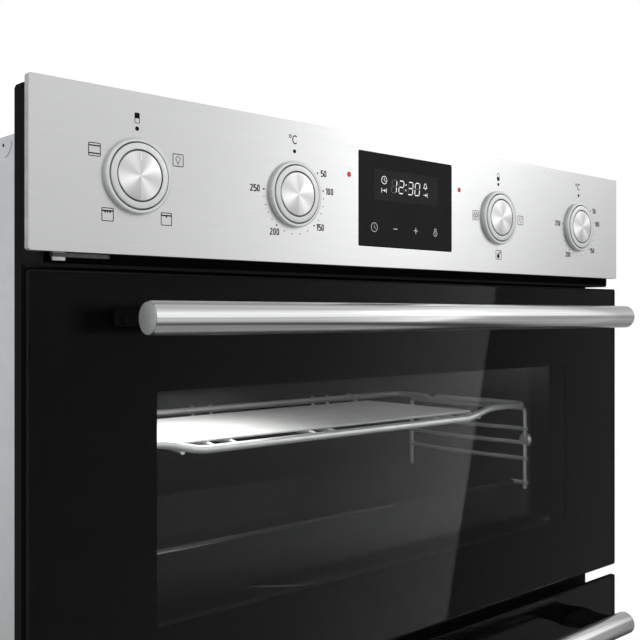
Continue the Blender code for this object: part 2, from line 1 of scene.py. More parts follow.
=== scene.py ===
"""Looks of the built-in double oven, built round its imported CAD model. Metres, +Z up, the front faces -Y.

Depths are measured back from the control panel's front plane, as in the CAD model.
"""

import math

import bmesh
import bpy
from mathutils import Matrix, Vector


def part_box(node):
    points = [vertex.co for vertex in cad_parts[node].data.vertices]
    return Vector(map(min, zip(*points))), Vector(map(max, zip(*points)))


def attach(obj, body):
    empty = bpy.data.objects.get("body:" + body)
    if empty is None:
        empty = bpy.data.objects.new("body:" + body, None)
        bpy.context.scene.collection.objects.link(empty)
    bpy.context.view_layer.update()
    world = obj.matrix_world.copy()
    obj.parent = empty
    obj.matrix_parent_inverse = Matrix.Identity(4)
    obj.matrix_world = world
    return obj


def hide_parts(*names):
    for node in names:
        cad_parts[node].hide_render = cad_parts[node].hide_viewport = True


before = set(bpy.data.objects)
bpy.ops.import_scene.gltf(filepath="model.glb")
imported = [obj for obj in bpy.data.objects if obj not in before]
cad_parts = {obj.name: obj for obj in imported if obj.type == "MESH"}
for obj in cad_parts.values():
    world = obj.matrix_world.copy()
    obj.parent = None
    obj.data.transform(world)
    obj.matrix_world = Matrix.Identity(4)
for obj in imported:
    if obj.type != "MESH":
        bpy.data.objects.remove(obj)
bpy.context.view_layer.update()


def middle(name, axis):
    """The middle of a CAD node's box along x (axis 0) or z (axis 2)."""
    low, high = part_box(name)
    return (low[axis] + high[axis]) / 2


# Places read from the CAD model
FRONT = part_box("control_panel")[0].y
KNOB_X = [middle(f"knob_{number}", 0) for number in range(1, 5)]
KNOB_Z = middle("knob_1", 2)
KNOB_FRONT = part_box("knob_1")[0].y - FRONT
LAMP_X = middle("indicator_lamp_right", 0)
LAMP_Z = middle("indicator_lamp_right", 2)

# Measures that the CAD boxes don't give
DISPLAY_HALF, DISPLAY_LOW, DISPLAY_HIGH = 0.051, 0.8067, 0.8738
CAP_RADIUS, GROOVE_RADIUS, RIM_BORE = 0.0144, 0.01512, 0.01515
WINDOW_HALF, WINDOW_BELOW, WINDOW_ABOVE = 0.2155, 0.0535, 0.0694
POST_X = 0.228
LINER_HALF, LINER_MARGIN = 0.238, 0.009
RUNNERS = {"upper": (0.597, 0.620, 0.635, 0.6485, 0.668), "lower": (0.130, 0.190, 0.250, 0.310, 0.370)}
ICON = 0.0072
INK_THICK = 0.00006

OVENS = ("upper", "lower")
SIDES = ((-1, "left"), (1, "right"))


# Geometry


PLACES = {
    "X": lambda a, b, t: (t, FRONT + a, b),
    "Y": lambda a, b, t: (a, FRONT + t, b),
    "Z": lambda a, b, t: (a, FRONT + b, t),
}


def rounded(left, right, low, high, radius, steps=8):
    """A rectangle with round corners, counter-clockwise from its lower right corner."""
    centres = (
        (right - radius, low + radius, -90),
        (right - radius, high - radius, 0),
        (left + radius, high - radius, 90),
        (left + radius, low + radius, 180),
    )
    return [point for x, y, start in centres for point in arc(x, y, radius, start, start + 90, steps)]


def face_of(low, high, radius, steps=8, inset=0.0):
    """A CAD box seen from the front, as a rectangle with round corners drawn in by the inset."""
    return rounded(low.x + inset, high.x - inset, low.z + inset, high.z - inset, radius, steps)


def rectangle(left, right, low, high):
    return [(left, low), (right, low), (right, high), (left, high)]


def arc(x, y, radius, start, end, steps):
    """Points round a centre, from one angle to another, in degrees counter-clockwise from the right."""
    angles = [math.radians(start + (end - start) * step / steps) for step in range(steps + 1)]
    return [(x + radius * math.cos(angle), y + radius * math.sin(angle)) for angle in angles]


def circle(x, y, radius, steps=48):
    return arc(x, y, radius, 0, 360, steps)[:-1]


def prism(axis, low, high, outline, *holes, bm=None):
    """The outline less the holes, from low to high along the axis, added to the bmesh if one is given."""
    place = PLACES[axis]
    bm = bm or bmesh.new()
    edges = []
    for points in (outline, *holes):
        verts = [bm.verts.new(place(a, b, low)) for a, b in points]
        edges += [bm.edges.new((verts[i - 1], verts[i])) for i in range(len(verts))]
    filled = bmesh.ops.triangle_fill(bm, use_beauty=True, edges=edges)["geom"]
    faces = [item for item in filled if isinstance(item, bmesh.types.BMFace)]
    grown = bmesh.ops.extrude_face_region(bm, geom=faces)["geom"]
    moved = [item for item in grown if isinstance(item, bmesh.types.BMVert)]
    step = Vector(place(0, 0, high)) - Vector(place(0, 0, low))
    bmesh.ops.translate(bm, vec=step, verts=moved)
    return bm


def loft(loops, closed=False, bm=None):
    """Skin over loops of equal length, capped at both ends unless the last joins the first."""
    bm = bm or bmesh.new()
    rings = [[bm.verts.new(point) for point in loop] for loop in loops]
    size = len(rings[0])
    for i in range(0 if closed else 1, len(rings)):
        for j in range(size):
            bm.faces.new((rings[i - 1][j - 1], rings[i - 1][j], rings[i][j], rings[i][j - 1]))
    if not closed:
        bm.faces.new(rings[0])
        bm.faces.new(rings[-1])
    return bm


def layered(axis, *layers):
    """A loft through outlines, each given with its place along the axis."""
    place = PLACES[axis]
    return loft([[place(a, b, t) for a, b in outline] for t, outline in layers])


def turned(axis, centre, profile, steps=64, ring=False, bm=None):
    """A solid of revolution: the profile's points are a radius and a place along the axis."""
    place = PLACES[axis]
    loops = [[place(a, b, t) for a, b in circle(*centre, r, steps)] for r, t in profile]
    return loft(loops, ring, bm)


def sweep(points, radius, sides=10, closed=False, bm=None):
    """A tube along the points (x, depth, z), mitred at its corners, with slightly domed ends."""
    points = [Vector((x, FRONT + y, z)) for x, y, z in points]
    loops = []
    side = None
    for i, point in enumerate(points):
        after = points[(i + 1) % len(points)] - point
        before = point - points[i - 1]
        if not closed and i == 0:
            before = after
        if not closed and i == len(points) - 1:
            after = before
        before, after = before.normalized(), after.normalized()
        mitre = (before + after).normalized()
        side = side or before.orthogonal()
        side = (side - before * side.dot(before)).normalized()
        loop = []
        for step in range(sides):
            angle = math.tau * step / sides
            out = radius * (math.cos(angle) * side + math.sin(angle) * before.cross(side))
            loop.append(point + out - before * (out.dot(mitre) / before.dot(mitre)))
        loops.append(loop)
    return loft(loops, closed, bm)


def rounded_route(points, radius=None):
    """The points with each inner corner replaced by a short curve.

    The curve starts and ends at the radius from the corner, or at the point's own fourth value.
    """
    steps = 5
    reaches = [point[3] if radius is None else radius for point in points]
    points = [Vector(point[:3]) for point in points]
    route = [points[0]]
    for before, corner, after, reach in zip(points, points[1:], points[2:], reaches[1:]):
        start = corner + (before - corner).normalized() * min(reach, (before - corner).length / 2.01)
        end = corner + (after - corner).normalized() * min(reach, (after - corner).length / 2.01)
        for step in range(steps + 1):
            t = step / steps
            route.append(start.lerp(corner, t).lerp(corner.lerp(end, t), t))
    route.append(points[-1])
    return [tuple(point) for point in route]


def piece(name, bm, finish, body, slot, *replaced, bevel=0.0, angle=35):
    """The bmesh as an object that rides on the body, with its edges rounded by the bevel."""
    if bevel:
        bmesh.ops.remove_doubles(bm, verts=bm.verts, dist=1e-6)
    bmesh.ops.recalc_face_normals(bm, faces=bm.faces)
    if bevel:
        bmesh.ops.dissolve_limit(bm, angle_limit=0.01, verts=bm.verts, edges=bm.edges)
        sharp = [edge for edge in bm.edges if edge.calc_face_angle(0) > 0.6]
        bmesh.ops.bevel(bm, geom=sharp, offset=bevel, segments=2, profile=0.5, affect="EDGES")
        bmesh.ops.triangulate(bm, faces=[face for face in bm.faces if len(face.verts) > 4])
    mesh = bpy.data.meshes.new(name)
    bm.to_mesh(mesh)
    bm.free()
    mesh.shade_smooth()
    mesh.set_sharp_from_angle(angle=math.radians(angle))
    mesh.materials.append(finish)
    obj = bpy.data.objects.new(name, mesh)
    bpy.context.scene.collection.objects.link(obj)
    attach(obj, body)
    if bevel:
        flat = obj.modifiers.new("flat_faces", "WEIGHTED_NORMAL")
        flat.weight = 100
        flat.keep_sharp = True
    if replaced:
        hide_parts(*replaced)
    return obj


# Materials


def finish_of(name, colour, metallic, roughness, **sockets):
    """A Principled material; other sockets are given by name, with spaces as underscores."""
    made = bpy.data.materials.new(name)
    made.use_nodes = True
    shader = made.node_tree.nodes["Principled BSDF"]
    shader.inputs["Base Color"].default_value = (*colour, 1)
    shader.inputs["Metallic"].default_value = metallic
    shader.inputs["Roughness"].default_value = roughness
    for socket, value in sockets.items():
        shader.inputs[socket.replace("_", " ")].default_value = value
    return made


def add_node(finish, kind, inputs=(), **settings):
    """A node in a material or world, with its settings, its inputs linked or set in order of name."""
    node = finish.node_tree.nodes.new(kind)
    for name, value in settings.items():
        setattr(node, name, value)
    for name, value in dict(inputs).items():
        if isinstance(value, bpy.types.NodeSocket):
            finish.node_tree.links.new(value, node.inputs[name])
        else:
            node.inputs[name].default_value = value
    return node


def noise_of(finish, scale, detail, roughness=0.5):
    """Noise between 0 and 1 in the object's own space, with its own scale along each axis."""
    coords = add_node(finish, "ShaderNodeTexCoord")
    mapped = add_node(finish, "ShaderNodeMapping", {"Vector": coords.outputs["Object"], "Scale": scale})
    noise = add_node(
        finish, "ShaderNodeTexNoise",
        {"Vector": mapped.outputs["Vector"], "Scale": 1.0, "Detail": detail, "Roughness": roughness},
    )
    return noise.outputs["Fac"]


def ranged(finish, value, low, high, start=0.35, end=0.65):
    """The value's stretch from start to end, spread from low to high."""
    node = add_node(
        finish, "ShaderNodeMapRange",
        {"Value": value, "From Min": start, "From Max": end, "To Min": low, "To Max": high},
    )
    return node.outputs["Result"]


def drive(finish, socket, value):
    shader = finish.node_tree.nodes["Principled BSDF"]
    finish.node_tree.links.new(value, shader.inputs[socket])


def tint(finish, value, dark, light):
    """Base colour between two colours."""
    mix = add_node(finish, "ShaderNodeMix", data_type="RGBA")
    finish.node_tree.links.new(value, mix.inputs[0])
    mix.inputs[6].default_value = (*dark, 1)
    mix.inputs[7].default_value = (*light, 1)
    drive(finish, "Base Color", mix.outputs[2])


def emboss(finish, value, distance, strength=1.0):
    bump = add_node(
        finish, "ShaderNodeBump", {"Height": value, "Distance": distance, "Strength": strength}
    )
    drive(finish, "Normal", bump.outputs["Normal"])


def set_stops(ramp, stops):
    """Gives a colour ramp its (place, colour) stops."""
    elements = ramp.color_ramp.elements
    while len(elements) < len(stops):
        elements.new(1.0)
    for element, (place, colour) in zip(elements, stops):
        element.position = place
        element.color = (*colour, 1)


def brushed(name, dark, light, scale, low, high, bump, **sockets):
    """Metal with fine parallel scratches, its roughness between low and high.

    The scale is small along the grain and large across it.
    """
    made = finish_of(name, light, 1.0, (low + high) / 2, **sockets)
    grain = noise_of(made, scale, 3.0, 0.6)
    tint(made, ranged(made, grain, 0, 1), dark, light)
    coarse = tuple(value * 0.43 for value in scale)
    drive(made, "Roughness", ranged(made, noise_of(made, coarse, 2.0), low, high))
    emboss(made, grain, bump, 0.35)
    return made


def mottled(name, dark, light, scale, metallic, low, high, bump=0.0, **sockets):
    """A surface whose colour and height vary softly, with its roughness between low and high."""
    made = finish_of(name, light, metallic, (low + high) / 2, **sockets)
    spots = noise_of(made, (scale,) * 3, 4.0, 0.6)
    tint(made, ranged(made, spots, 0, 1), dark, light)
    drive(made, "Roughness", ranged(made, noise_of(made, (scale * 0.3,) * 3, 2.0), low, high))
    if bump:
        emboss(made, spots, bump)
    return made


def spun_metal_painted_highlights(name):
    """A lathe-finished face with fine rings; the light and dark wedges round the middle are painted
    highlights and reflections in its colour.
    """
    made = finish_of(name, (0.8, 0.8, 0.82), 1.0, 0.28)
    coords = add_node(made, "ShaderNodeTexCoord")
    centred = add_node(
        made, "ShaderNodeVectorMath",
        {0: coords.outputs["Generated"], 1: (0.5, 0.5, 0.5)}, operation="SUBTRACT",
    )
    parts = add_node(made, "ShaderNodeSeparateXYZ", {"Vector": centred.outputs["Vector"]})
    turn = add_node(
        made, "ShaderNodeMath", {0: parts.outputs["X"], 1: parts.outputs["Z"]}, operation="ARCTAN2"
    )
    share = add_node(
        made, "ShaderNodeMapRange",
        {
            "Value": turn.outputs["Value"], "From Min": -math.pi, "From Max": math.pi,
            "To Min": 0.0, "To Max": 1.0,
        },
    )
    ramp = add_node(made, "ShaderNodeValToRGB", {"Fac": share.outputs["Result"]})
    ramp.color_ramp.interpolation = "B_SPLINE"
    # Painted highlights: the base colour's light and dark wedges stand for lamps and surroundings reflected
    # in the cap.
    painted_highlight_wedges = (
        0.45, 0.46, 0.48, 0.59, 0.81, 0.85, 0.68, 0.51, 0.48, 0.56, 0.62, 0.58,
        0.47, 0.46, 0.53, 0.74, 0.85, 0.66, 0.50, 0.48, 0.56, 0.74, 0.74, 0.56,
    )
    set_stops(ramp, [
        (round(step / len(painted_highlight_wedges), 3), (level, level, level * 1.01)) for step, level in enumerate(painted_highlight_wedges)
    ])
    drive(made, "Base Color", ramp.outputs["Color"])
    rings = add_node(
        made, "ShaderNodeTexWave",
        {"Vector": coords.outputs["Object"], "Scale": 900.0, "Distortion": 1.0},
        wave_type="RINGS", rings_direction="Y",
    )
    drive(made, "Roughness", ranged(made, rings.outputs["Fac"], 0.30, 0.36, 0.0, 1.0))
    return made


def pane_glass(name, colour):
    """Clear glass that lets lamplight through without bending it."""
    made = finish_of(name, colour, 0.0, 0.0, Transmission_Weight=1.0, IOR=1.12)
    smudge = noise_of(made, (14.0,) * 3, 3.0)
    drive(made, "Roughness", ranged(made, smudge, 0.0, 0.002))
    tree = made.node_tree
    shader, out = tree.nodes["Principled BSDF"], tree.nodes["Material Output"]
    path = add_node(made, "ShaderNodeLightPath")
    clear = add_node(made, "ShaderNodeBsdfTransparent", {"Color": (0.92, 0.94, 0.94, 1)})
    mix = add_node(
        made, "ShaderNodeMixShader",
        {"Fac": path.outputs["Is Shadow Ray"], 1: shader.outputs["BSDF"], 2: clear.outputs["BSDF"]},
    )
    tree.links.new(mix.outputs["Shader"], out.inputs["Surface"])
    return made


def glowing(name, colour, strength):
    return finish_of(
        name, colour, 0.0, 0.4, Emission_Strength=strength, Emission_Color=(*colour, 1)
    )


def grey(level):
    return (level,) * 3


MATT = {"Specular_IOR_Level": 0.0}
FAINT_SHEEN = {"Specular_IOR_Level": 0.08}

STEEL_PANEL = brushed(
    "brushed_steel_panel", (0.568, 0.571, 0.575), (0.600, 0.603, 0.607), (26.0, 1.0, 3400.0),
    0.33, 0.37, 0.000004, Anisotropic=0.8, Anisotropic_Rotation=0.25,
)
SATIN_RING = mottled("satin_ring", (0.54, 0.555, 0.55), (0.585, 0.60, 0.595), 300.0, 0.55, 0.34, 0.42)
# Painted shade for the narrow groove between a knob's cap and its rim.
GROOVE_PAINTED_SHADE = mottled("groove_painted_shade", grey(0.02), grey(0.04), 500.0, 0.3, 0.5, 0.6)
# Spun cap, its colour carrying painted highlight wedges.
SPUN_CAP_PAINTED_HIGHLIGHTS = spun_metal_painted_highlights("spun_cap_painted_highlights")
WHITE_MARK = mottled("white_mark", grey(0.80), grey(0.88), 900.0, 0.0, 0.4, 0.5)
HANDLE_TUBE = brushed(
    "brushed_handle_tube", (0.60, 0.605, 0.61), (0.72, 0.725, 0.73), (4.0, 900.0, 900.0),
    0.19, 0.24, 0.000006,
)
HANDLE_CAP = mottled(
    "handle_cap", (0.36, 0.37, 0.375), (0.42, 0.43, 0.435), 500.0, 0.6, 0.45, 0.55, 0.00001
)
BLACK_INK = mottled("black_ink", grey(0.002), grey(0.005), 800.0, 0.0, 0.5, 0.6, **FAINT_SHEEN)
BROWN_INK = mottled(
    "brown_ink", (0.14, 0.018, 0.014), (0.18, 0.030, 0.022), 800.0, 0.0, 0.5, 0.6, **FAINT_SHEEN
)
DISPLAY_GLASS = mottled(
    "display_glass", (0.0170, 0.0170, 0.0172), (0.0190, 0.0190, 0.0193), 40.0, 0.0, 0.04, 0.07, **MATT
)
DISPLAY_WINDOW = mottled(
    "display_window", (0.024, 0.024, 0.025), (0.026, 0.026, 0.027), 60.0, 0.0, 0.10, 0.14, **MATT
)
LIT_SEGMENT = glowing("lit_segment", (0.72, 0.74, 0.74), 0.45)
DIM_SEGMENT = glowing("dim_segment", (0.04, 0.04, 0.042), 0.15)
TOUCH_ICON = glowing("touch_icon", (0.34, 0.34, 0.35), 0.20)
RED_LENS = glowing("red_lens", (0.62, 0.02, 0.02), 0.30)
BLACK_POST = mottled(
    "black_post", (0.004, 0.004, 0.0045), (0.007, 0.007, 0.0075), 300.0, 0.0, 0.55, 0.7, **MATT
)
BLACK_FRIT = mottled(
    "black_frit", (0.0020, 0.0020, 0.0023), (0.0032, 0.0032, 0.0035), 120.0, 0.0, 0.5, 0.6, **MATT
)
PANE = pane_glass("clear_pane", (0.985, 0.992, 0.99))
BLACK_METAL = mottled(
    "black_metal", (0.0100, 0.0100, 0.0102), (0.0120, 0.0120, 0.0123), 260.0, 0.0, 0.5, 0.6,
    0.000003, **MATT,
)
ENAMEL = mottled(
    "black_enamel", (0.0070, 0.0070, 0.0078), (0.0105, 0.0105, 0.0115), 420.0, 0.0, 0.14, 0.22,
    0.000006,
)
CHROME_WIRE = mottled("chromed_wire", (0.54, 0.54, 0.53), (0.60, 0.60, 0.59), 60.0, 0.6, 0.34, 0.40)
FINE_WIRE = mottled("fine_wire", (0.56, 0.56, 0.55), (0.62, 0.62, 0.61), 60.0, 0.1, 0.58, 0.66)
SHADED_STEEL = mottled(
    "shaded_steel", (0.050, 0.051, 0.052), (0.075, 0.076, 0.077), 200.0, 0.0, 0.5, 0.6,
    Specular_IOR_Level=0.1,
)
ZINC = mottled(
    "zinc_sheet", (0.61, 0.625, 0.635), (0.65, 0.665, 0.675), 90.0, 0.85, 0.44, 0.47, 0.000004
)
BARE_STEEL = mottled("bare_steel", (0.38, 0.385, 0.39), (0.52, 0.525, 0.53), 150.0, 1.0, 0.32, 0.48)
RUBBER = mottled("black_rubber", grey(0.012), grey(0.022), 350.0, 0.0, 0.6, 0.75, 0.00003)
WOOL = mottled("mineral_wool", (0.30, 0.25, 0.14), (0.62, 0.56, 0.38), 700.0, 0.0, 0.9, 1.0, 0.0006)
HEATER = mottled(
    "heater_rod", (0.08, 0.075, 0.07), (0.17, 0.155, 0.14), 180.0, 0.6, 0.4, 0.6, 0.00003
)
PALE_PLASTIC = mottled(
    "pale_plastic", (0.52, 0.50, 0.44), (0.62, 0.60, 0.54), 160.0, 0.0, 0.45, 0.6, 0.00002
)
BLACK_PLASTIC = mottled("black_plastic", grey(0.015), grey(0.030), 300.0, 0.0, 0.4, 0.55, 0.00002)


def repaint(finish, *nodes):
    """Gives CAD nodes whose shape stays their finished material."""
    for name in nodes:
        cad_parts[name].data.materials.clear()
        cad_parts[name].data.materials.append(finish)


# Control panel


def display_outline(out, radius):
    """The display's outline, grown by that much."""
    return rounded(
        -DISPLAY_HALF - out, DISPLAY_HALF + out, DISPLAY_LOW - out, DISPLAY_HIGH + out, radius, 4
    )


def make_panel():
    """The steel face with its holes, and the returns behind its edges."""
    low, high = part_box("control_panel")
    depth, sheet = high.y - low.y, 0.0012
    knob_holes = [circle(x, KNOB_Z, 0.021) for x in KNOB_X]
    lamp_holes = [circle(side * LAMP_X, LAMP_Z, 0.0017, 20) for side, _ in SIDES]
    outline = face_of(low, high, 0.0016)
    window = display_outline(0.0002, 0.0012)
    face = prism("Y", 0.0, sheet, outline, window, *knob_holes, *lamp_holes)
    piece("panel_face", face, STEEL_PANEL, "chassis", "brushed_steel", "control_panel", bevel=0.00035)
    returns = prism("Y", sheet * 0.9, depth, outline, face_of(low, high, 0.0008, inset=sheet))
    piece("panel_returns", returns, BARE_STEEL, "chassis", "brushed_steel", bevel=0.0002)


def knob_profile():
    """The knob's outer side, from the edge of its cap back to the end of its skirt and up inside."""
    front, back, web = KNOB_FRONT, 0.020, KNOB_FRONT + 0.004
    radius, wall = 0.019, 0.0018
    hub, bore, hub_end = 0.006, 0.0034, 0.024
    return [
        (RIM_BORE, front + 0.0001), (0.0154, front),
        (radius - 0.0009, front), (radius - 0.0005, front + 0.0001),
        (radius - 0.0002, front + 0.0004), (radius - 0.0001, front + 0.0009),
        (radius, back), (radius - wall, back), (radius - wall, web),
        (hub, web), (hub, hub_end), (bore, hub_end), (bore, web),
    ]


def make_knob(number, x):
    """The knob's rim, its groove with a dark ring of painted shade, the spun cap with painted highlights
    and its mark, and the fixed ring round it.
    """
    centre = (x, KNOB_Z)
    body = f"knob_{number}"
    floor = KNOB_FRONT + 0.0016
    skirt = turned("Y", centre, [(0.012, floor), (RIM_BORE, floor)] + knob_profile())
    piece(f"knob_rim_{number}", skirt, SATIN_RING, body, "knob_metal", body, angle=20)

    # A dark ring sits in the groove between rim and cap: painted shade in the gap.
    lip, seat = KNOB_FRONT + 0.0005, KNOB_FRONT + 0.0015
    section = [(GROOVE_RADIUS, lip), (GROOVE_RADIUS, seat), (CAP_RADIUS, seat), (CAP_RADIUS, lip)]
    groove = turned("Y", centre, section, ring=True)
    piece(f"knob_groove_{number}", groove, GROOVE_PAINTED_SHADE, body, "black_plastic")

    front = KNOB_FRONT - 0.0003
    dome = [
        (0.0004, front - 0.00015), (0.006, front - 0.00012), (0.012, front), (0.0140, front + 0.0002),
        (CAP_RADIUS, front + 0.0006), (CAP_RADIUS, seat), (0.0004, seat),
    ]
    piece(f"knob_cap_{number}", turned("Y", centre, dome, 96), SPUN_CAP_PAINTED_HIGHLIGHTS, body, "knob_metal")
    bar = rounded(x - 0.0004, x + 0.0004, KNOB_Z + 0.0088, KNOB_Z + 0.0126, 0.0002, 3)
    mark = prism("Y", front - 0.00026, front - 0.00002, bar)
    piece(f"knob_mark_{number}", mark, WHITE_MARK, body, "knob_metal")

    inner, outer, neck = 0.0195, 0.0219, 0.0206
    crest, shoulder, foot, back = -0.0031, -0.0028, -0.00003, 0.010
    section = [
        (inner, back), (inner, shoulder), (inner + 0.0003, crest), (outer - 0.0009, crest),
        (outer - 0.0003, shoulder), (outer, -0.0020), (outer, foot), (neck, foot), (neck, back),
    ]
    piece(
        f"bezel_ring_{number}", turned("Y", centre, section, ring=True), SATIN_RING, "chassis",
        "polished_steel", f"knob_bezel_{number}", angle=20,
    )


# Printed marks: strokes and filled shapes in the panel's plane


def ribbon(points, width, closed):
    """Outlines of a stroke along the points: one outline, or a rim and a hole if it is closed."""
    count = len(points)
    shortest = 0.35  # sharp corners are cut short, not drawn out to a spike
    left, right = [], []
    for i, (x, z) in enumerate(points):
        before = points[i - 1] if closed or i else None
        after = points[(i + 1) % count] if closed or i < count - 1 else None
        heads = [Vector((x, z)) - Vector(before)] if before else []
        heads += [Vector(after) - Vector((x, z))] if after else []
        heads = [head.normalized() for head in heads]
        along = sum(heads, Vector((0, 0))).normalized()
        across = Vector((-along.y, along.x))
        reach = width / 2 / max(shortest, along.dot(heads[0]))
        left.append((x + across.x * reach, z + across.y * reach))
        right.append((x - across.x * reach, z - across.y * reach))
    return (left, right) if closed else (left + right[::-1],)


class Ink:
    """Collects flat marks on the panel or on the display."""

    def __init__(self, depth, thick=INK_THICK):
        self.bm = bmesh.new()
        self.back = depth
        self.front = depth - thick
        self.origin = (0.0, 0.0)
        self.size = 1.0

    def at(self, x, z, size=1.0):
        self.origin, self.size = (x, z), size
        return self

    def _place(self, points):
        return [(self.origin[0] + self.size * x, self.origin[1] + self.size * z) for x, z in points]

    def fill(self, outline, *holes):
        shapes = [self._place(points) for points in (outline, *holes)]
        prism("Y", self.back, self.front, *shapes, bm=self.bm)
        return self

    def line(self, points, width, closed=False):
        return self.fill(*ribbon(points, width, closed))

    def done(self, name, finish, slot="black_paint"):
        piece(name, self.bm, finish, "chassis", slot)


def digit(ink, character, x, z, height, width):
    """One character in plain strokes on a grid 0.52 wide and 1 high."""
    ink.at(x, z, height)
    stroke = width / height
    half, top = 0.25, 1 - stroke / 2
    low = stroke / 2
    if character == "0":
        upper_half = arc(half, top - half + low, half - low, 0, 180, 8)
        lower_half = arc(half, half, half - low, 180, 360, 8)
        ink.line(upper_half + lower_half, stroke, closed=True)
    elif character == "1":
        ink.line([(0.10, 0.80), (0.30, top), (0.30, 0.0)], stroke)
    elif character == "2":
        curve = arc(half, top - half + low, half - low, 165, -25, 8)
        ink.line(curve + [(low, low), (0.50, low)], stroke)
    elif character == "5":
        bowl = arc(half, 0.31, 0.26, 120, -140, 10)
        ink.line([(0.46, top), (0.08, top), (0.06, 0.52)] + bowl, stroke)


def write(ink, text, x, z, height, width):
    """Text centred on a point."""
    steps = [0.48 if character == "1" else 0.62 for character in text]
    place = x - (sum(steps) - 0.10) * height / 2
    for character, step in zip(text, steps):
        digit(ink, character, place, z - height / 2, height, width)
        place += step * height


def polar(x, radius, degrees):
    """A point round a knob, with the angle clockwise from the top."""
    angle = math.radians(degrees)
    return x + radius * math.sin(angle), KNOB_Z + radius * math.cos(angle)


def icon_box(ink, x, z):
    """An icon's frame; the ink then draws inside it, one unit to a side."""
    ink.at(x, z, ICON)
    return ink.line(rounded(-0.5, 0.5, -0.5, 0.5, 0.06, 3), 0.065, closed=True)


def draw_selector(ink, x, icons, low_half):
    """The marks round a selector: its dot, the sign for its oven, and one box for each position."""
    ink.at(x, KNOB_Z + 0.0274).fill(circle(0, 0, 0.0013, 20))
    half, tall = 0.0015, 0.0029
    ink.at(x, KNOB_Z + 0.0335)
    ink.line(rounded(-half, half, -tall, tall, 0.0006, 3), 0.00038, closed=True)
    bottom, top = (-tall, 0.0) if low_half else (-0.0002, tall)
    ink.fill(rectangle(-half, half, bottom, top))
    for degrees, draw in icons:
        place = polar(x, 0.0303, degrees)
        draw(icon_box(ink, place[0] + 0.0004, place[1]))


def draw_bulb(ink):
    glass = arc(0, 0.10, 0.21, 236, -56, 16)
    ink.line([(-0.09, -0.20), (-0.09, -0.14)] + glass + [(0.09, -0.14), (0.09, -0.20)], 0.05)
    ink.line([(-0.11, -0.22), (0.11, -0.22)], 0.05)
    ink.line([(-0.07, -0.31), (0.07, -0.31)], 0.05)


def draw_grill(ink, teeth):
    ink.line([(-0.48, 0.29), (0.48, 0.29)], 0.11)
    for i in range(teeth):
        x = (i - (teeth - 1) / 2) * 0.22
        ink.fill([(x - 0.10, 0.26), (x, 0.08), (x + 0.10, 0.26)])


def draw_heat(ink):
    for z in (0.30, -0.30):
        ink.line([(-0.48, z), (0.48, z)], 0.10)


def draw_fan(ink):
    ink.line(circle(0, 0, 0.34, 20), 0.06, closed=True)
    blade = [(0.03, 0.03), (0.06, 0.25), (0.18, 0.18), (0.11, 0.03)]
    for i in range(4):
        turn = math.radians(90 * i)
        cos, sin = math.cos(turn), math.sin(turn)
        ink.fill([(a * cos - b * sin, a * sin + b * cos) for a, b in blade])


def draw_thaw(ink):
    ink.fill([(-0.06, 0.28)] + arc(-0.06, -0.16, 0.24, 150, 390, 14))
    ink.line([(0.26, 0.12), (0.26, 0.42)], 0.06)
    ink.line([(0.12, 0.35), (0.40, 0.19)], 0.06)
    ink.line([(0.12, 0.19), (0.40, 0.35)], 0.06)


def draw_dial(ink, brown, x):
    """The marks round a thermostat: its dot, its sign, and a scale with numbers."""
    ink.at(x, KNOB_Z + 0.0285).fill(circle(0, 0, 0.0013, 20))
    ink.at(x - 0.0037, KNOB_Z + 0.0381).line(circle(0, 0, 0.0010, 14), 0.0005, closed=True)
    letter = [(0.0020 * math.cos(a), 0.0026 * math.sin(a)) for a in (0.8 + 0.29 * i for i in range(17))]
    ink.at(x + 0.0004, KNOB_Z + 0.0362).line(letter, 0.00075)
    scale, height, stroke = 0.0262, 0.0045, 0.00074
    # For each number: its angle on the scale, and how far right and up of its dot it stands, in mm.
    numbers = {
        "50": (52, 5.6, 0.2), "100": (80, 5.8, 0), "150": (138, 5.4, -0.9),
        "200": (216, -1.8, -4.3), "250": (273, -7.3, 0.1),
    }
    for label, (degrees, right, up) in numbers.items():
        pen = brown if label in ("50", "150", "200") else ink
        place = polar(x, scale, degrees)
        pen.at(*place).fill(circle(0, 0, 0.00065, 14))
        write(ink, label, place[0] + right / 1000, place[1] + up / 1000, height, stroke)
    for start, end in ((80, 138), (138, 216), (216, 274)):
        for i in range(1, 5):
            dot = polar(x, scale, start + (end - start) * i / 5)
            ink.at(*dot).fill(circle(0, 0, 0.00042, 10))


def make_print():
    ink, brown = Ink(0.0), Ink(0.0)
    upper_icons = (
        (66, draw_bulb), (140, lambda pen: draw_grill(pen, 1)),
        (220, lambda pen: draw_grill(pen, 3)), (294, draw_heat),
    )
    draw_selector(ink, KNOB_X[0], upper_icons, False)
    draw_selector(ink, KNOB_X[2], ((90, draw_bulb), (180, draw_thaw), (270, draw_fan)), True)
    draw_dial(ink, brown, KNOB_X[1])
    draw_dial(ink, brown, KNOB_X[3])
    ink.done("panel_print", BLACK_INK)
    brown.done("panel_print_accents", BROWN_INK, slot="red_lens")


# Display


SEGMENTS = {"0": "abcdef", "1": "bc", "2": "abged", "3": "abgcd"}


def segment(name, width, height, thick):
    """One bar of a seven-segment digit, with pointed ends."""
    ends = {
        "a": ((0, height), (width, height)), "b": ((width, height), (width, height / 2)),
        "c": ((width, height / 2), (width, 0)), "d": ((0, 0), (width, 0)),
        "e": ((0, 0), (0, height / 2)), "f": ((0, height / 2), (0, height)),
        "g": ((0, height / 2), (width, height / 2)),
    }
    start, end = (Vector(point) for point in ends[name])
    along = (end - start).normalized()
    start, end = start + along * thick * 0.6, end - along * thick * 0.6
    across = Vector((-along.y, along.x)) * thick / 2
    near, far = start + along * thick * 0.4, end - along * thick * 0.4
    outline = (start, near - across, far - across, end, far + across, near + across)
    return [tuple(point) for point in outline]


